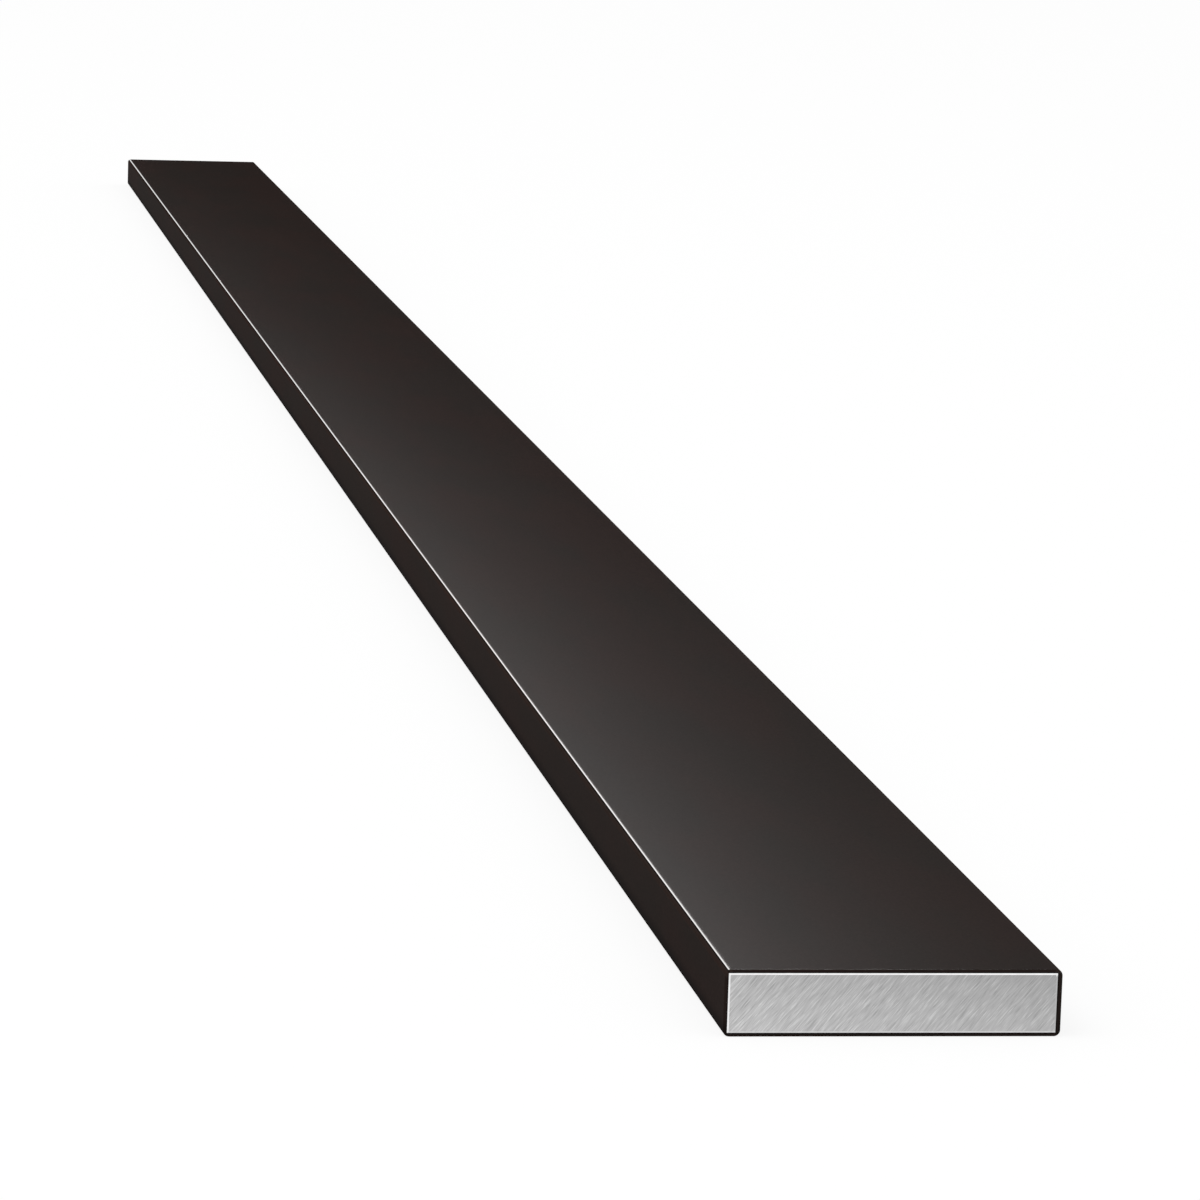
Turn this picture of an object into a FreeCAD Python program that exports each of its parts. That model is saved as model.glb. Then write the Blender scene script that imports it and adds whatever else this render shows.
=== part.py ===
import FreeCAD, Part
import math
import os

# Flat bar stock: one length of extruded aluminium bar with a dark bronze coating and bare sawn ends.
# Sizes are in millimetres. X runs along the bar, Y across its width and Z up through it.
# The origin is the middle of the broad face that the bar lies on.

# Driving dimensions of the bar
LENGTH = 914.4  # three feet, from cut face to cut face
WIDTH = 31.75  # an inch and a quarter
THICKNESS = 6.35  # a quarter of an inch
EDGE_RADIUS = 0.6  # what the extrusion die leaves along the four long edges

# Driving dimensions of the two ends, which are finished alike
ARRIS_RADIUS = 0.31  # the coated rounding all round each end
SHOULDER = 0.03  # the flat left between that rounding and the foot of the bare land
LAND_HEIGHT = 0.08  # how far the land, which is the cut face, stands proud of the shoulder
RIM_BEVEL = 0.06  # the bright deburred bevel round the cut face

# A rounding or bevel takes no more than this share of the material that it is cut from
LARGEST_SHARE = 0.9
edge_radius = min(EDGE_RADIUS, LARGEST_SHARE * min(WIDTH, THICKNESS) / 2)
arris_radius = min(ARRIS_RADIUS, LARGEST_SHARE * (edge_radius - SHOULDER))

# The land's outline lies inside the arris, so its corners are tighter than the bar's
land_inset = arris_radius + SHOULDER
land_radius = edge_radius - land_inset
rim_bevel = min(RIM_BEVEL, LARGEST_SHARE * land_radius)


def corner_arc(centre, radius, side_y, side_z):
    """A quarter circle that bulges towards side_y and side_z, in the plane across the bar."""
    across = FreeCAD.Vector(0, side_y * radius, 0)
    up = FreeCAD.Vector(0, 0, side_z * radius)
    middle = FreeCAD.Vector(0, side_y, side_z).normalize() * radius
    points = [centre + across, centre + middle, centre + up]
    if side_y * side_z < 0:
        points.reverse()
    return Part.Arc(*points).toShape()


def section(x, inset, radius):
    """The bar's section at x, drawn in from its sides by inset, with corners of the radius given."""
    reach_y = WIDTH / 2 - inset - radius
    reach_z = THICKNESS / 2 - inset - radius
    arcs = []
    for side_y, side_z in [(1, 1), (-1, 1), (-1, -1), (1, -1)]:
        centre = FreeCAD.Vector(x, side_y * reach_y, THICKNESS / 2 + side_z * reach_z)
        arcs.append(corner_arc(centre, radius, side_y, side_z))
    edges = []
    for arc, following in zip(arcs, arcs[1:] + arcs[:1]):
        leaves = arc.valueAt(arc.LastParameter)
        arrives = following.valueAt(following.FirstParameter)
        edges += [arc, Part.makeLine(leaves, arrives)]
    return Part.Face(Part.Wire(edges))


def straight_length(length, inset, radius):
    """The section extruded along X, with the origin midway."""
    return section(-length / 2, inset, radius).extrude(FreeCAD.Vector(length, 0, 0))


def end_edges(solid):
    """The edges round both ends of a straight length, which are all those that don't run along it."""
    return [edge for edge in solid.Edges if math.isclose(edge.Vertexes[0].X, edge.Vertexes[-1].X)]


def coated_length():
    """The full section from shoulder to shoulder, with the arris at each end rounded over."""
    bar = straight_length(LENGTH - 2 * LAND_HEIGHT, 0, edge_radius)
    return bar.makeFillet(arris_radius, end_edges(bar))


def bare_metal():
    """The metal that ends in the two cut faces, inside the coated length, with their rims bevelled."""
    bar = straight_length(LENGTH, land_inset, land_radius)
    return bar.makeChamfer(rim_bevel, end_edges(bar))


def main():
    fused = coated_length().fuse(bare_metal())
    flat_bar = fused.Solids[0]
    os.makedirs("parts", exist_ok=True)
    flat_bar.exportStep("parts/flat_bar.step")
    print("flat_bar", len(fused.Solids), flat_bar.isValid(), round(flat_bar.Volume, 1), flat_bar.BoundBox)


main()
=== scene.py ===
"""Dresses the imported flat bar: dark bronze coated aluminium with bare, square-cut ends, on a white floor."""
import logging
import math
from collections.abc import Callable, Sequence
from dataclasses import dataclass
from enum import Enum
from typing import Any, Union

import bmesh
import bpy
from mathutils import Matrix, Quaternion, Vector


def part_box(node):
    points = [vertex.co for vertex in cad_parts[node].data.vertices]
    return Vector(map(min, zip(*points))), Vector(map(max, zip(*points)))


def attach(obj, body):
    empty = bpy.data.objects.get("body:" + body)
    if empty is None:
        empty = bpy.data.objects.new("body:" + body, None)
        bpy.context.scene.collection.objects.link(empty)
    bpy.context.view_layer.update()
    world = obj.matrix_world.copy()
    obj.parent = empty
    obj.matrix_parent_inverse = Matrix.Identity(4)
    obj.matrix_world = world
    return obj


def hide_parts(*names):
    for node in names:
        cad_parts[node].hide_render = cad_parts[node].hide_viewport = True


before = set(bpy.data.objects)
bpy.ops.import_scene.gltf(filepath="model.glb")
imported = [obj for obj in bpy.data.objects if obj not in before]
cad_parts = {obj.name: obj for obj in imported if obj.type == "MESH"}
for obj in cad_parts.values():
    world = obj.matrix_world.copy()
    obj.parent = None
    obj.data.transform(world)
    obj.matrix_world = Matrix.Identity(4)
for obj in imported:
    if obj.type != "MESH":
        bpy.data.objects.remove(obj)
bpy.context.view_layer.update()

log = logging.getLogger("flat_bar")

MM = 0.001
NODE = "flat_bar"
BODY = "root"

HALF = 0.5
NOISE_MIDDLE = 0.5
LOOKS_ALONG = 0.99  # the least X in the normal of a face that looks along the bar
RUNS_ALONG = 0.01 * MM  # the least reach along X of an edge that runs along the bar
FLAT_FACE_WEIGHT = 100  # lets the large faces alone say how a piece is shaded

# The Mix node's colour sockets go by number, because others on it have the same names
MIX_FIRST, MIX_SECOND, MIX_RESULT = 6, 7, 2

Colour = tuple[float, float, float]
Place = tuple[float, float, float]
Span = tuple[float, float]
Band = tuple[Span, Span]

WHITE: Colour = (1.0, 1.0, 1.0)


# Shader maths

class Signal:
    """A shader value that Python's own arithmetic turns into Math nodes."""

    def __init__(self, sheet: "NodeSheet", socket: bpy.types.NodeSocket) -> None:
        """Keeps the sheet that new nodes go on and the socket that the value comes from."""
        self.sheet = sheet
        self.socket = socket

    def math(self, operation: str, *others: "Value") -> "Signal":
        """Adds one Math node.

        Args:
            operation: The Math node's operation.
            others: The values after this one.

        Returns:
            The node's result.
        """
        values = dict(enumerate((self, *others)))
        return self.sheet.add("ShaderNodeMath", {"operation": operation}, values)

    def __add__(self, other: "Value") -> "Signal":
        """This value and the other, added."""
        return self.math("ADD", other)

    def __mul__(self, other: "Value") -> "Signal":
        """This value times the other."""
        return self.math("MULTIPLY", other)

    def __sub__(self, other: "Value") -> "Signal":
        """This value less the other."""
        return self.math("SUBTRACT", other)

    def __rsub__(self, other: float) -> "Signal":
        """A plain number less this value."""
        return self * -1.0 + other

    def __abs__(self) -> "Signal":
        """This value without its sign."""
        return self.math("ABSOLUTE")

    def larger(self, other: "Value") -> "Signal":
        """The larger of this value and the other."""
        return self.math("MAXIMUM", other)

    def between(self, start: float, end: float) -> "Signal":
        """How far this value has come from start to end, eased at both and held to 0 and 1."""
        settings = {"interpolation_type": "SMOOTHSTEP"}
        return self.sheet.add("ShaderNodeMapRange", settings, {0: self, 1: start, 2: end})

    def band(self, rise: Span, fall: Span) -> "Signal":
        """1 from the end of the rise to the start of the fall, and 0 outside them."""
        return self.between(*rise) * (1.0 - self.between(*fall))


Value = Union[Signal, float]
Paint = Union[Signal, Colour]


class NodeSheet:
    """The nodes of one material or of the world."""

    def __init__(self, tree: bpy.types.NodeTree) -> None:
        """Starts an empty sheet on a node tree."""
        tree.nodes.clear()
        self.tree = tree

    def add(self, kind: str, settings: dict[str, Any] | None = None,
            values: dict[int | str, Any] | None = None, output: int | str = 0) -> Signal | None:
        """Adds a node, sets it up and joins it.

        Args:
            kind: The node's type.
            settings: Its own settings, which are set before its sockets.
            values: What each input socket is given: a number, a colour or another node's result.
            output: Which output the result is taken from.

        Returns:
            The chosen output, or None for a node that ends the sheet.
        """
        node = self.tree.nodes.new(kind)
        for name, setting in (settings or {}).items():
            setattr(node, name, setting)
        for name, value in (values or {}).items():
            if isinstance(value, Signal):
                self.tree.links.new(value.socket, node.inputs[name])
            else:
                node.inputs[name].default_value = value
        return Signal(self, node.outputs[output]) if len(node.outputs) else None

    def place(self) -> Signal:
        """Where a point of the surface is, in metres, in the part's own frame."""
        return self.add("ShaderNodeTexCoord", output="Object")

    def axes(self, place: Signal) -> tuple[Signal, Signal, Signal]:
        """The three numbers of a place.

        Args:
            place: The place to take apart.

        Returns:
            Its X, Y and Z.
        """
        split = self.add("ShaderNodeSeparateXYZ", values={0: place}).socket.node
        return tuple(Signal(self, socket) for socket in split.outputs)

    def noise(self, place: Signal, lump: Place, detail: float = 2.0, turn: Place = (0.0, 0.0, 0.0),
              distortion: float = 0.0) -> Signal:
        """Soft noise about one half.

        Args:
            place: The place in metres.
            lump: A lump's length along each turned axis, in metres.
            detail: How many finer layers it has.
            turn: The axes' turn in degrees.
            distortion: How far its lumps are drawn about.

        Returns:
            The noise.
        """
        turned = [math.radians(angle) for angle in turn]
        lumps = self.add("ShaderNodeMapping", {"vector_type": "TEXTURE"},
                         {"Vector": place, "Rotation": turned, "Scale": lump})
        values = {"Vector": lumps, "Scale": 1.0, "Detail": detail, "Distortion": distortion}
        return self.add("ShaderNodeTexNoise", {"noise_dimensions": "3D"}, values)

    def mix(self, share: Value, first: Paint, second: Paint, blend: str = "MIX") -> Signal:
        """Two colours mixed.

        Args:
            share: How much of the second there is.
            first: A colour or a result.
            second: A colour or a result.
            blend: How the second acts on the first.

        Returns:
            The mixed colour.
        """
        settings = {"data_type": "RGBA", "blend_type": blend}
        colours = {MIX_FIRST: paint(first), MIX_SECOND: paint(second)}
        return self.add("ShaderNodeMix", settings, {0: share, **colours}, output=MIX_RESULT)

    def shaded(self, colour: Paint, shade: Signal) -> Signal:
        """A colour times a plain value."""
        grey = self.add("ShaderNodeCombineXYZ", values={0: shade, 1: shade, 2: shade})
        return self.mix(1.0, colour, grey, "MULTIPLY")


def paint(colour: Paint) -> Signal | tuple[float, ...]:
    """A plain colour with its alpha, or a result as it is."""
    return colour if isinstance(colour, Signal) else (*colour, 1.0)


def new_material(name: str) -> tuple[bpy.types.Material, NodeSheet]:
    """Starts a material.

    Args:
        name: The material's name.

    Returns:
        The material and its empty sheet.
    """
    material = bpy.data.materials.new(name)
    material.use_nodes = True
    return material, NodeSheet(material.node_tree)


def surface(sheet: NodeSheet, values: dict[str, Any]) -> None:
    """Ends a sheet in one Principled shader.

    Args:
        sheet: The material's sheet.
        values: The shader's sockets.
    """
    shader = sheet.add("ShaderNodeBsdfPrincipled", values=values)
    sheet.add("ShaderNodeOutputMaterial", values={"Surface": shader})


# The blocks that sizes and finishes are measured in

@dataclass(frozen=True)
class Box:
    """A block between two opposite corners."""

    low: Vector
    high: Vector

    @property
    def middle(self) -> Vector:
        """The block's middle."""
        return (self.low + self.high) / 2

    @property
    def half(self) -> Vector:
        """Half the block's size along each axis."""
        return (self.high - self.low) / 2

    def between_x(self, first: float, second: float) -> "Box":
        """This block with its two ends moved to two places along X, given in either order."""
        low_x, high_x = sorted((first, second))
        return Box(Vector((low_x, self.low.y, self.low.z)), Vector((high_x, self.high.y, self.high.z)))

    def depths(self, place: Sequence[Signal]) -> list[Signal]:
        """How far a place is from the nearer of the block's two sides along each axis, and below 0 outside.

        Args:
            place: The place's X, Y and Z.

        Returns:
            Its three depths.
        """
        return [half - abs(at - middle) for at, middle, half in zip(place, self.middle, self.half)]


@dataclass(frozen=True)
class Margins:
    """How far a slab is set in from the bar's outline on each of its four sides."""

    left: float
    right: float
    below: float
    above: float

    def inside(self, box: Box) -> Box:
        """What is left of a block between the margins, as long as the block itself."""
        return Box(box.low + Vector((0.0, self.left, self.below)),
                   box.high - Vector((0.0, self.right, self.above)))


# Finishes

@dataclass(frozen=True)
class BronzeCoating:
    """The satin dark bronze coating, with a thin light line painted along each long edge as a painted highlight.

    What lies over a long edge is placed in edge radii from its crest: 1 is where the broad face starts, and -1 is
    where the narrow side does. The painted highlight and the painted shadow beside it are placed from the
    highlight's own middle. Both are broader towards the far end, because line_scale, which their distances are
    multiplied by, is less there. The roundings are painted paler as a painted sheen, and the narrow sides darker
    near the floor as painted shade.
    """

    box: Box
    edge_radius: float
    warm: Colour = (0.0167, 0.0102, 0.0087)
    cool: Colour = (0.0144, 0.0103, 0.0089)
    shadow: Colour = (0.0040, 0.0030, 0.0027)
    # painted highlight: the colour of the light line painted along each long edge
    painted_highlight: Colour = (0.86, 0.85, 0.84)

    blotch: Place = (40 * MM, 9 * MM, 9 * MM)
    blotch_detail: float = 3.0
    blotch_tint: Span = (0.35, 0.65)
    cloud: Place = (90 * MM, 22 * MM, 22 * MM)
    cloud_contrast: float = 0.25
    grain: Place = (0.5 * MM, 0.25 * MM, 0.25 * MM)
    grain_contrast: float = 0.5

    turn: Span = (-MM, MM)
    line_middle_left: float = 0.56
    line_middle_right: float = -0.14
    line_scale: float = 0.80
    line_scale_per_metre: float = 0.44
    line_band: Band = ((-0.17, -0.07), (0.0, 0.33))
    line_end: Span = (0.20 * MM, 0.36 * MM)
    shadow_band: Band = ((-0.42, -0.34), (-0.22, -0.14))

    side_edge: Span = (0.4, 1.2)
    # painted shade: the narrow sides painted darker near the floor
    low_edge: Span = (0.4 * MM, 2.0 * MM)
    low_shadow: float = 0.8
    # painted sheen: how far over each rounding the brown is painted paler, and by how much
    painted_sheen_bend: Band = ((-1.1, -0.7), (0.75, 1.1))
    painted_sheen_lift: float = 0.6

    flat_gloss: float = 0.0075
    side_gloss: float = 0.026
    gloss_roughness: float = 0.30
    dull_bend: Band = ((-1.0, -0.7), (0.75, 1.0))
    roughness: float = 0.55
    roughness_play: float = 0.2
    bump: float = 0.15
    bump_height: float = 0.01 * MM

    def material(self) -> bpy.types.Material:
        """The coating as a material."""
        material, sheet = new_material("bronze_coating")
        place = sheet.place()
        x, y, z = sheet.axes(place)
        from_end, from_side, from_face = self.box.depths((x, y, z))
        over_edge = (from_side - from_face) * (1.0 / self.edge_radius)
        on_right = (y - self.box.middle.y).between(*self.turn)
        further_over = on_right * (self.line_middle_left - self.line_middle_right)
        off_line = over_edge + further_over - self.line_middle_left
        off_line = off_line * (x * self.line_scale_per_metre + self.line_scale)
        # painted highlight: where the light line is painted along each long edge
        line = off_line.band(*self.line_band) * from_end.between(*self.line_end)
        on_side = 1.0 - (from_side * (1.0 / self.edge_radius)).between(*self.side_edge)
        painted_low_shade = on_side * (1.0 - (z - self.box.low.z).between(*self.low_edge)) * self.low_shadow

        grain = sheet.noise(place, self.grain)
        cloud = sheet.noise(place, self.cloud)
        shade = (grain - NOISE_MIDDLE) * self.grain_contrast
        shade = shade + (cloud - NOISE_MIDDLE) * self.cloud_contrast + 1.0
        # painted sheen: the roundings painted paler
        shade = shade * (over_edge.band(*self.painted_sheen_bend) * self.painted_sheen_lift + 1.0)
        tint = sheet.noise(place, self.blotch, self.blotch_detail).between(*self.blotch_tint)
        brown = sheet.shaded(sheet.mix(tint, self.warm, self.cool), shade)
        # painted shade: the dark line beside the highlight and the lower narrow sides
        brown = sheet.mix(off_line.band(*self.shadow_band).larger(painted_low_shade), brown, self.shadow)
        # paints the highlight line over the brown
        brown = sheet.mix(line, brown, self.painted_highlight)

        gloss = on_side * (self.side_gloss - self.flat_gloss) + self.flat_gloss
        gloss = gloss * (1.0 - over_edge.band(*self.dull_bend))
        bump = sheet.add("ShaderNodeBump",
                         values={"Strength": self.bump, "Distance": self.bump_height, "Height": grain})
        surface(sheet, {
            "Base Color": brown,
            "Roughness": (grain - NOISE_MIDDLE) * self.roughness_play + self.roughness,
            "Specular IOR Level": 0.0,
            "Coat Weight": gloss,
            "Coat Roughness": self.gloss_roughness,
            "Normal": bump,
        })
        return material


@dataclass(frozen=True)
class SawnMetal:
    """Bare aluminium as the saw and a wipe of abrasive leave it: short wavy strokes up to the right.

    It is painted a little darker to the right and above as painted shade: each painted shade is a share of its
    brightness lost for each metre.
    """

    box: Box
    middle: Colour = (0.455, 0.453, 0.455)
    light: Colour = (0.615, 0.615, 0.615)
    dark: Colour = (0.315, 0.315, 0.315)
    stroke_turn: Place = (50.0, 0.0, 0.0)
    fine_stroke: Place = (10 * MM, 1.5 * MM, 0.070 * MM)
    fine_detail: float = 3.0
    fine_contrast: float = 0.8
    fine_wave: float = 0.35
    broad_stroke: Place = (10 * MM, 3.0 * MM, 0.30 * MM)
    broad_detail: float = 2.0
    broad_contrast: float = 0.2
    broad_wave: float = 0.3
    mark_reach: float = 0.20
    brightness: float = 1.05
    painted_shade_across: float = 6.5
    painted_shade_up: float = 32.0
    roughness: float = 0.42
    roughness_play: float = 0.3
    bump: float = 0.1
    bump_height: float = 0.01 * MM

    def material(self) -> bpy.types.Material:
        """The cut face as a material."""
        material, sheet = new_material("sawn_aluminium")
        place = sheet.place()
        _, across, up = sheet.axes(place)
        fine = sheet.noise(place, self.fine_stroke, self.fine_detail, self.stroke_turn, self.fine_wave)
        broad = sheet.noise(place, self.broad_stroke, self.broad_detail, self.stroke_turn, self.broad_wave)
        marks = (fine - NOISE_MIDDLE) * self.fine_contrast + (broad - NOISE_MIDDLE) * self.broad_contrast
        metal = sheet.mix(marks.between(0.0, self.mark_reach), self.middle, self.light)
        metal = sheet.mix((marks * -1.0).between(0.0, self.mark_reach), metal, self.dark)
        # painted shade: the metal darker to the right and above
        rightwards = (across - self.box.middle.y) * self.painted_shade_across
        upwards = (up - self.box.middle.z) * self.painted_shade_up
        metal = sheet.shaded(metal, self.brightness - rightwards - upwards)
        bump = sheet.add("ShaderNodeBump",
                         values={"Strength": self.bump, "Distance": self.bump_height, "Height": marks})
        surface(sheet, {
            "Base Color": metal,
            "Metallic": 1.0,
            "Roughness": marks * self.roughness_play + self.roughness,
            "Normal": bump,
        })
        return material


@dataclass(frozen=True)
class DeburredRim:
    """The bevel that a file leaves round the cut face, painted brightest above and on the left and darker below
    and on the right, as painted light and shade.
    """

    box: Box
    # painted light and shade: each side of the bevel has its own brightness, lit above and on the left
    above: Colour = (0.98, 0.98, 0.98)
    below: Colour = (0.68, 0.68, 0.68)
    left: Colour = (0.93, 0.93, 0.93)
    right: Colour = (0.50, 0.50, 0.50)
    turn: Span = (-MM, MM)
    corner: Span = (-0.01 * MM, 0.01 * MM)
    file_mark: Place = (0.4 * MM, 0.6 * MM, 0.6 * MM)
    file_detail: float = 3.0
    file_reach: Span = (0.3, 0.7)
    file_depth: float = 0.08
    roughness: float = 0.25
    roughness_play: float = 0.2

    def material(self) -> bpy.types.Material:
        """The bevel as a material."""
        material, sheet = new_material("deburred_rim")
        place = sheet.place()
        axes = sheet.axes(place)
        _, from_side, from_face = self.box.depths(axes)
        # painted light and shade: the bevel's brightness chosen by which side it is on
        side = sheet.mix((axes[1] - self.box.middle.y).between(*self.turn), self.left, self.right)
        level = sheet.mix((axes[2] - self.box.middle.z).between(*self.turn), self.below, self.above)
        metal = sheet.mix((from_face - from_side).between(*self.corner), level, side)
        filed = sheet.noise(place, self.file_mark, self.file_detail)
        metal = sheet.shaded(metal, 1.0 - filed.between(*self.file_reach) * self.file_depth)
        surface(sheet, {
            "Base Color": metal,
            "Metallic": 1.0,
            "Roughness": filed * self.roughness_play + self.roughness,
        })
        return material


@dataclass(frozen=True)
class PaintedShadeEdge:
    """The coating's own cut edge, painted nearly black beside the metal as painted shade, and brown further out.
    """

    metal: Box
    black: Colour = (0.0050, 0.0040, 0.0036)
    brown: Colour = (0.0150, 0.0115, 0.0102)
    turn: Span = (0.02 * MM, 0.13 * MM)
    patch: Place = (0.5 * MM, 0.8 * MM, 0.8 * MM)
    patch_detail: float = 3.0
    patch_reach: float = 0.1 * MM
    roughness: float = 0.6
    roughness_play: float = 0.2

    def material(self) -> bpy.types.Material:
        """The cut edge as a material."""
        material, sheet = new_material("painted_shade_edge")
        place = sheet.place()
        _, from_side, from_face = self.metal.depths(sheet.axes(place))
        outward = (from_side * -1.0).larger(from_face * -1.0)
        patches = sheet.noise(place, self.patch, self.patch_detail)
        further = outward + (patches - NOISE_MIDDLE) * self.patch_reach
        # painted shade: nearly black next to the metal, brown further out
        surface(sheet, {
            "Base Color": sheet.mix(further.between(*self.turn), self.black, self.brown),
            "Roughness": patches * self.roughness_play + self.roughness,
            "Specular IOR Level": 0.0,
        })
        return material


# Modelling by hand

class End(Enum):
    """The two ends of the bar, by the side of the frame that each faces."""

    NEAR = 1
    FAR = -1


def deselect_all() -> None:
    """Leaves nothing selected, so that the next operator acts on its own object alone."""
    bpy.ops.object.select_all(action="DESELECT")


def take(piece: bpy.types.Object) -> None:
    """Makes a piece the only one selected, and the active one."""
    deselect_all()
    piece.select_set(True)
    bpy.context.view_layer.objects.active = piece


def new_block(name: str, box: Box) -> bpy.types.Object:
    """Adds a block.

    Args:
        name: The block's name.
        box: Where its corners are.

    Returns:
        The block, with its object at the origin.
    """
    deselect_all()
    bpy.ops.mesh.primitive_cube_add(size=1.0, calc_uvs=False, location=box.middle, scale=box.half * 2)
    block = bpy.context.object
    block.name = name
    block.data.name = name
    bpy.ops.object.transform_apply(location=True, rotation=True, scale=True)
    return block


def choose_edges(piece: bpy.types.Object, test: Callable[[Vector, Vector], bool]) -> None:
    """In edit mode, selects the edges whose two ends pass a test.

    Args:
        piece: The piece that is being edited.
        test: Takes the places of an edge's two ends.
    """
    bpy.ops.mesh.select_mode(type="EDGE")
    bpy.ops.mesh.select_all(action="DESELECT")
    mesh = bmesh.from_edit_mesh(piece.data)
    for edge in mesh.edges:
        edge.select_set(test(edge.verts[0].co, edge.verts[1].co))
    bmesh.update_edit_mesh(piece.data)


def choose_end(piece: bpy.types.Object, end: End) -> None:
    """In edit mode, selects the faces that look out of one end of the bar.

    Args:
        piece: The piece that is being edited.
        end: Which end.
    """
    bpy.ops.mesh.select_mode(type="FACE")
    bpy.ops.mesh.select_all(action="DESELECT")
    mesh = bmesh.from_edit_mesh(piece.data)
    for face in mesh.faces:
        face.select_set(face.normal.x * end.value > LOOKS_ALONG)
    bmesh.update_edit_mesh(piece.data)


def runs_along(first: Vector, second: Vector) -> bool:
    """True for an edge that runs along the bar."""
    return abs(first.x - second.x) > RUNS_ALONG


def looks_along(face: bpy.types.MeshPolygon) -> bool:
    """True for a face that looks along the bar, either way."""
    return abs(face.normal.x) > LOOKS_ALONG


def round_over(radius: float, steps: int) -> None:
    """In edit mode, rounds the selected edges over.

    Args:
        radius: The rounding's radius.
        steps: How many facets it has.
    """
    bpy.ops.mesh.bevel(offset=radius, offset_type="OFFSET", segments=steps, profile=0.5, affect="EDGES",
                       clamp_overlap=False)


def round_out(radius: float, steps: int) -> None:
    """In edit mode, grows a quarter round out of the selected end face, and leaves its last face selected.

    Args:
        radius: The rounding's radius.
        steps: How many facets it has.
    """
    angles = [math.pi / 2 * step / steps for step in range(steps + 1)]
    for before, after in zip(angles, angles[1:]):
        bpy.ops.mesh.inset(thickness=radius * (math.cos(before) - math.cos(after)),
                           depth=radius * (math.sin(after) - math.sin(before)))


def finish_piece(piece: bpy.types.Object, materials: Sequence[bpy.types.Material],
                 smooth_angle: float = 35.0) -> None:
    """Shades a finished piece, gives it its materials and lets it ride on the bar's body.

    Args:
        piece: The piece.
        materials: Its materials, in the order of its faces' numbers.
        smooth_angle: The sharpest edge that is shaded smooth, in degrees.
    """
    take(piece)
    bpy.ops.object.shade_smooth_by_angle(angle=math.radians(smooth_angle))
    bpy.ops.object.modifier_add(type="WEIGHTED_NORMAL")
    weighted = piece.modifiers[-1]
    weighted.weight = FLAT_FACE_WEIGHT
    weighted.keep_sharp = True
    bpy.ops.object.modifier_apply(modifier=weighted.name)
    for material in materials:
        piece.data.materials.append(material)
    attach(piece, BODY)
    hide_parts(NODE)
    size = tuple(round(length / MM, 3) for length in piece.dimensions)
    log.info("%s: %d faces, %s mm", piece.name, len(piece.data.polygons), size)


@dataclass(frozen=True)
class UnrolledMap:
    """The map that the coating is baked through, with the bar's outline unrolled down most of it.

    The bar is far longer than its outline is round, so the map is stretched across the bar, and most of all over
    the long edges, where the thin lines are. The end roundings, lips and pocket walls have a band of their own at
    each end, and the floors of the two pockets lie side by side above. inside_run is how far such a band reaches:
    in over the rounding and the lip, and then down the pocket's wall.
    """

    box: Box
    edge_radius: float
    shoulder_x: float
    arris_radius: float
    inside_run: float
    name: str = "OFBake"
    edge_stretch: float = 3.0
    margin: float = 0.01
    end_band: float = 0.04
    outline_top: float = 0.90
    floors_top: float = 0.99

    def round_outline(self, place: Vector) -> tuple[float, float]:
        """Unrolls a place on the bar.

        Args:
            place: The place.

        Returns:
            How far round the outline it is, as a share of all of it, and how deep inside it, in metres.
        """
        reach = self.box.half - Vector((self.edge_radius,) * 3)
        off = place - self.box.middle
        past_side, past_face = abs(off.y) - reach.y, abs(off.z) - reach.z
        bend = self.edge_stretch * self.edge_radius * math.pi / 2
        if past_side > 0.0 and past_face > 0.0:
            quarter_run = reach.z + self.edge_stretch * self.edge_radius * math.atan2(past_face, past_side)
            depth = self.edge_radius - math.hypot(past_side, past_face)
        elif past_side > past_face:
            quarter_run = reach.z + past_face
            depth = self.edge_radius - past_side
        else:
            quarter_run = reach.z + bend - past_side
            depth = self.edge_radius - past_face
        quarter = reach.y + reach.z + bend
        run = quarter_run if (off.y > 0.0) == (off.z > 0.0) else 2 * quarter - quarter_run
        if off.z <= 0.0:
            run += 2 * quarter
        return (run + reach.z) / (4 * quarter) % 1.0, depth

    def along(self, place: Vector, depth: float) -> float:
        """How far along the map a place is.

        Args:
            place: The place.
            depth: How deep inside the outline it is.

        Returns:
            Its share of the map's width.
        """
        straight_x = self.shoulder_x - self.arris_radius
        room = HALF - self.margin - self.end_band
        if abs(place.x) <= straight_x and depth < self.arris_radius:
            return HALF + room * place.x / straight_x
        run = depth if depth < self.arris_radius else depth + self.shoulder_x - abs(place.x)
        return HALF + math.copysign(room + self.end_band * min(run / self.inside_run, 1.0), place.x)

    def on_floor(self, place: Vector) -> tuple[float, float]:
        """Where a place on a pocket's floor is on the map."""
        across, up = ((place[axis] - self.box.low[axis]) / self.box.half[axis] / 2 for axis in (1, 2))
        start, across = (HALF + self.margin, across) if place.x > 0.0 else (self.margin, 1.0 - across)
        room = self.floors_top - self.outline_top - self.margin
        return start + across * (HALF - 2 * self.margin), self.outline_top + self.margin + up * room

    def draw(self, mesh: bpy.types.Mesh) -> None:
        """Adds the map to a mesh.

        Args:
            mesh: The coated length's mesh.
        """
        layer = mesh.uv_layers.new(name=self.name)
        for face in mesh.polygons:
            middle_share, middle_depth = self.round_outline(face.center)
            is_floor = middle_depth > self.edge_radius and looks_along(face)
            for corner in face.loop_indices:
                place = mesh.vertices[mesh.loops[corner].vertex_index].co
                if is_floor:
                    layer.data[corner].uv = self.on_floor(place)
                    continue
                share, depth = self.round_outline(place)
                share -= round(share - middle_share)
                up = self.outline_top - self.margin - share * (self.outline_top - 2 * self.margin)
                layer.data[corner].uv = (self.along(place, depth), up)


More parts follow.
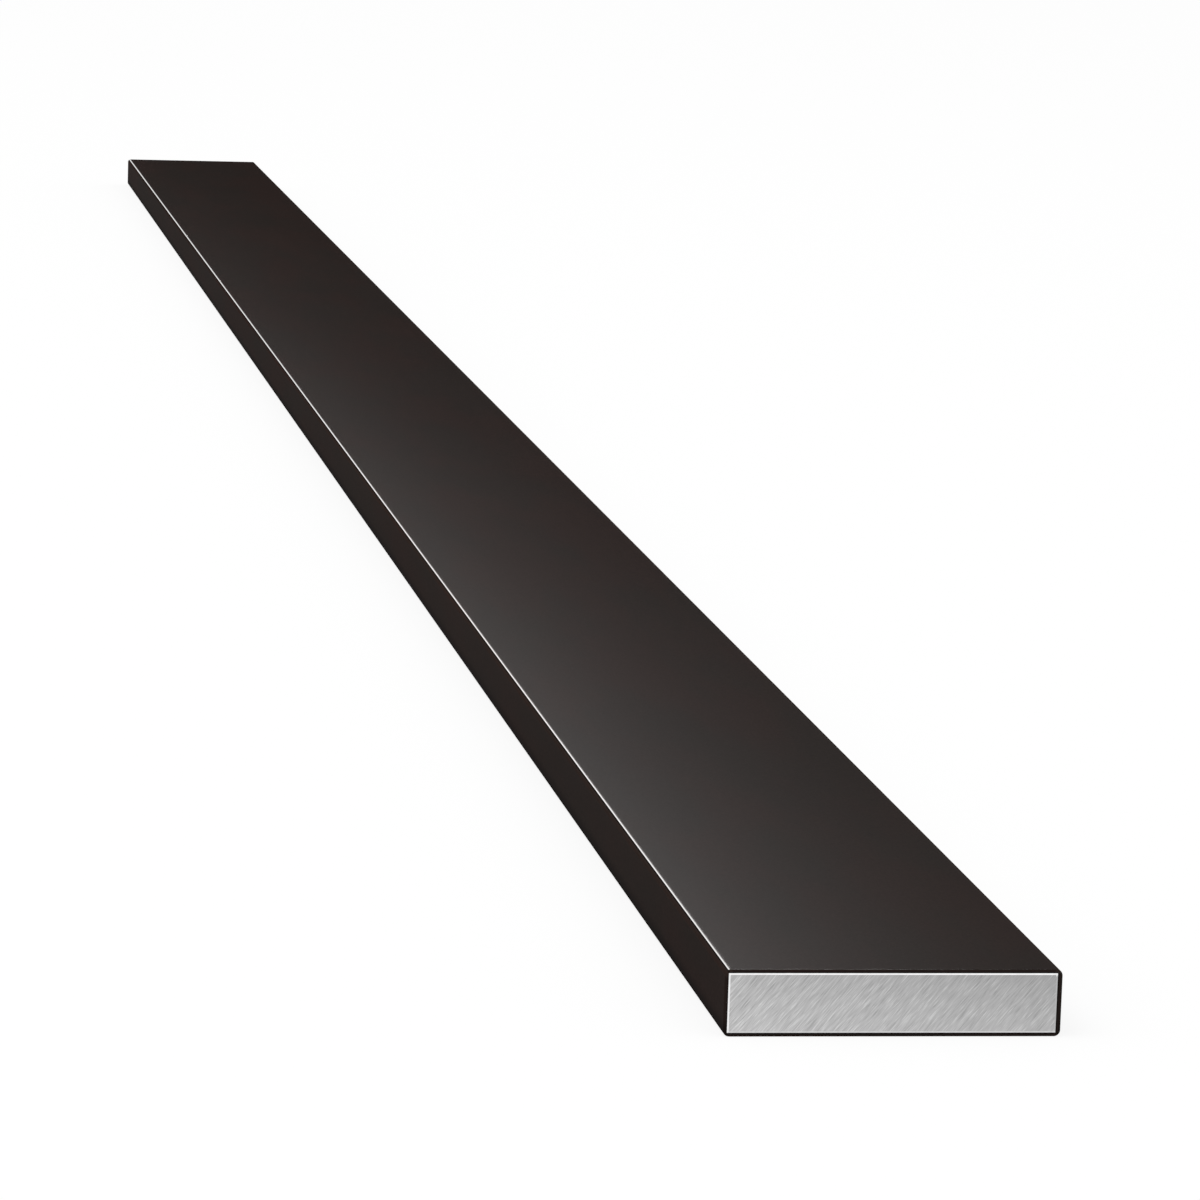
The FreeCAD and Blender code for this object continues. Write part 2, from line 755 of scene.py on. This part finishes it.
@dataclass
class CoatedLength:
    """The bar from shoulder to shoulder: its long edges, the rounded arris at each end and a shallow pocket."""

    box: Box
    edge_radius: float = 0.6 * MM
    edge_steps: int = 8
    land_height: float = 0.08 * MM
    arris_radius: float = 0.22 * MM
    arris_steps: int = 5
    lip: float = 0.02 * MM
    pocket: float = 0.10 * MM

    @property
    def shoulder_x(self) -> float:
        """How far each shoulder is from the middle of the bar."""
        return self.box.high.x - self.land_height

    def build(self) -> bpy.types.Object:
        """Models the coated length.

        Returns:
            The piece, still without its finish.
        """
        ends = Vector((self.land_height + self.arris_radius, 0.0, 0.0))
        body = new_block("coated_length", Box(self.box.low + ends, self.box.high - ends))
        bpy.ops.object.mode_set(mode="EDIT")
        choose_edges(body, runs_along)
        round_over(self.edge_radius, self.edge_steps)
        for end in End:
            choose_end(body, end)
            round_out(self.arris_radius, self.arris_steps)
            bpy.ops.mesh.inset(thickness=self.lip, depth=0.0)
            bpy.ops.mesh.extrude_region_move(
                TRANSFORM_OT_translate={"value": (-end.value * self.pocket, 0.0, 0.0)})
        bpy.ops.object.mode_set(mode="OBJECT")
        return body

    def dress(self) -> bpy.types.Object:
        """Builds the coated length, maps it for baking and gives it its coating.

        Returns:
            The finished piece.
        """
        piece = self.build()
        inside_run = self.arris_radius + self.lip + self.pocket
        baking_map = UnrolledMap(self.box, self.edge_radius, self.shoulder_x, self.arris_radius, inside_run)
        baking_map.draw(piece.data)
        finish_piece(piece, [BronzeCoating(self.box, self.edge_radius).material()])
        return piece


@dataclass
class EndFace:
    """One slab at each end of the bar, set in from the bar's outline; both are one piece.

    face_x is how far each slab's face is from the middle of the bar, with the rim's rise.
    """

    box: Box
    face_x: float
    name: str
    margins: Margins
    corner_radius: float
    depth: float
    rim_width: float
    rim_rise: float
    corner_steps: int = 4

    def slab(self, end: End) -> bpy.types.Object:
        """Models the slab at one end.

        Args:
            end: Which end.

        Returns:
            The slab.
        """
        foot = end.value * (self.face_x - self.rim_rise)
        back = foot - end.value * self.depth
        slab = new_block(self.name, self.margins.inside(self.box).between_x(foot, back))
        bpy.ops.object.mode_set(mode="EDIT")
        if self.corner_radius > 0.0:
            choose_edges(slab, runs_along)
            round_over(self.corner_radius, self.corner_steps)
        choose_end(slab, end)
        bpy.ops.mesh.inset(thickness=self.rim_width, depth=self.rim_rise)
        bpy.ops.object.mode_set(mode="OBJECT")
        return slab

    def build(self) -> bpy.types.Object:
        """Models both slabs as one piece.

        Returns:
            The piece, still without its finish.
        """
        near, far = (self.slab(end) for end in End)
        take(near)
        far.select_set(True)
        bpy.ops.object.join()
        near.name = near.data.name = self.name
        return near


@dataclass
class BareEnds(EndFace):
    """The bare metal that shows at each end: the sawn face and the bright bevel round it."""

    name: str = "bare_ends"
    margins: Margins = Margins(left=0.35 * MM, right=0.50 * MM, below=0.40 * MM, above=0.33 * MM)
    corner_radius: float = 0.0
    depth: float = 0.4 * MM
    rim_width: float = 0.15 * MM
    rim_rise: float = 0.06 * MM

    def dress(self) -> None:
        """Builds both ends and gives them their two finishes."""
        piece = self.build()
        for face in piece.data.polygons:
            face.material_index = 0 if looks_along(face) else 1
        finish_piece(piece, [SawnMetal(self.box).material(), DeburredRim(self.box).material()])


@dataclass
class CoatingEdges(EndFace):
    """The coating's cut edge, a dark line of painted shade all round the bare metal at each end."""

    name: str = "coating_edges"
    margins: Margins = Margins(left=0.235 * MM, right=0.235 * MM, below=0.235 * MM, above=0.235 * MM)
    corner_radius: float = 0.36 * MM
    depth: float = 0.2 * MM
    rim_width: float = 0.02 * MM
    rim_rise: float = 0.01 * MM

    def dress(self, metal: Box) -> None:
        """Builds both lines and gives them their finish.

        Args:
            metal: Where the bare metal is.
        """
        finish_piece(self.build(), [PaintedShadeEdge(metal).material()])


# The studio

@dataclass(frozen=True)
class Lamp:
    """A rectangular soft lamp that faces a point."""

    name: str
    place: Place
    faces: Place
    size: tuple[float, float]
    radiance: float
    gloss_only: bool = False
    turn: float = 0.0

    def hang(self, seen_by: bpy.types.Collection | None = None) -> None:
        """Adds the lamp.

        Args:
            seen_by: The pieces that it lights, or None for everything.
        """
        width, length = self.size
        data = bpy.data.lights.new(self.name, "AREA")
        data.shape = "RECTANGLE"
        data.size = width
        data.size_y = length
        data.energy = self.radiance * math.pi * width * length
        lamp = bpy.data.objects.new(self.name, data)
        bpy.context.scene.collection.objects.link(lamp)
        lamp.location = self.place
        lamp.rotation_mode = "QUATERNION"
        facing = (Vector(self.place) - Vector(self.faces)).to_track_quat("Z", "Y")
        lamp.rotation_quaternion = facing @ Quaternion((0.0, 0.0, 1.0), math.radians(self.turn))
        lamp.visible_camera = False
        lamp.visible_diffuse = not self.gloss_only
        if seen_by is not None:
            lamp.light_linking.receiver_collection = seen_by


@dataclass(frozen=True)
class Studio:
    """A white floor under soft light, with one strip lamp that only the coating's gloss shows."""

    floor_size: float = 40.0
    floor_white: Colour = (0.95, 0.95, 0.95)
    sky_light: float = 0.85
    shadow_share: float = 0.15
    soft_box: Lamp = Lamp("soft_box", place=(0.6, -1.2, 2.2), faces=(0.0, 0.0, 0.0), size=(1.6, 1.6),
                          radiance=2.3)
    top_strip: Lamp = Lamp("top_strip", place=(-0.22, -0.0315, 0.141), faces=(-0.22, -0.0315, 0.0),
                           size=(1.15, 0.03), radiance=535.0, gloss_only=True, turn=6.07)

    def build(self, coated: bpy.types.Object) -> None:
        """Makes the floor, the white surroundings and the lamps.

        Args:
            coated: The piece that the strip lamp lights.
        """
        self.lay_floor()
        self.fill_world()
        self.soft_box.hang()
        coated_only = bpy.data.collections.new("coated_only")
        coated_only.objects.link(coated)
        self.top_strip.hang(coated_only)

    @staticmethod
    def seen_directly(sheet: NodeSheet) -> Signal:
        """1 for what the camera, a reflection or a clear piece shows, and 0 for light on its way."""
        path = sheet.add("ShaderNodeLightPath").socket.node
        camera, glossy, through = (Signal(sheet, path.outputs[name])
                                   for name in ("Is Camera Ray", "Is Glossy Ray", "Is Transmission Ray"))
        return camera.larger(glossy).larger(through)

    def lay_floor(self) -> None:
        """Lays the floor, which shows white and still keeps a part of the bar's shadow."""
        deselect_all()
        bpy.ops.mesh.primitive_plane_add(size=self.floor_size)
        floor = bpy.context.object
        floor.name = "floor"
        material, sheet = new_material("white_floor")
        lit = sheet.add("ShaderNodeBsdfDiffuse", values={"Color": paint(self.floor_white)})
        white = sheet.add("ShaderNodeEmission", values={"Color": paint(WHITE), "Strength": 1.0})
        share = self.seen_directly(sheet) * (1.0 - self.shadow_share)
        mixed = sheet.add("ShaderNodeMixShader", values={0: share, 1: lit, 2: white})
        sheet.add("ShaderNodeOutputMaterial", values={"Surface": mixed})
        floor.data.materials.append(material)

    def fill_world(self) -> None:
        """Fills the world with even light, which shows as white."""
        world = bpy.data.worlds.new("white_surroundings")
        world.use_nodes = True
        bpy.context.scene.world = world
        sheet = NodeSheet(world.node_tree)
        strength = self.seen_directly(sheet) * (1.0 - self.sky_light) + self.sky_light
        light = sheet.add("ShaderNodeBackground", values={"Color": paint(WHITE), "Strength": strength})
        sheet.add("ShaderNodeOutputWorld", values={"Surface": light})


@dataclass(frozen=True)
class PhotoCamera:
    """The camera at the photograph's viewpoint, turned about its own look by roll, in degrees."""

    place: Place = (0.95636, -0.10274, 0.11956)
    look: Place = (-0.977268, 0.145066, -0.154605)
    roll: float = 1.892
    focal_pixels: float = 5643.0
    picture_pixels: float = 1200.0
    sensor: float = 36.0
    clip_start: float = 0.01

    def set_up(self) -> None:
        """Adds the camera and makes it the scene's own."""
        data = bpy.data.cameras.new("photo_camera")
        data.sensor_width = self.sensor
        data.lens = self.sensor * self.focal_pixels / self.picture_pixels
        data.clip_start = self.clip_start
        camera = bpy.data.objects.new("photo_camera", data)
        bpy.context.scene.collection.objects.link(camera)
        camera.location = self.place
        camera.rotation_mode = "QUATERNION"
        level = Vector(self.look).to_track_quat("-Z", "Y")
        camera.rotation_quaternion = level @ Quaternion((0.0, 0.0, 1.0), math.radians(self.roll))
        bpy.context.scene.camera = camera


def main() -> None:
    """Builds the bar, the studio and the camera; each piece's size is logged as it is finished."""
    logging.basicConfig(level=logging.INFO, format="%(message)s")
    bpy.context.scene.view_settings.view_transform = "Standard"
    PhotoCamera().set_up()
    bar = Box(*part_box(NODE))
    coated = CoatedLength(bar)
    coated_piece = coated.dress()
    ends = BareEnds(bar, face_x=bar.high.x)
    ends.dress()
    edges = CoatingEdges(bar, face_x=coated.shoulder_x + CoatingEdges.rim_rise)
    edges.dress(ends.margins.inside(bar))
    Studio().build(coated_piece)


if __name__ == "__main__":
    main()
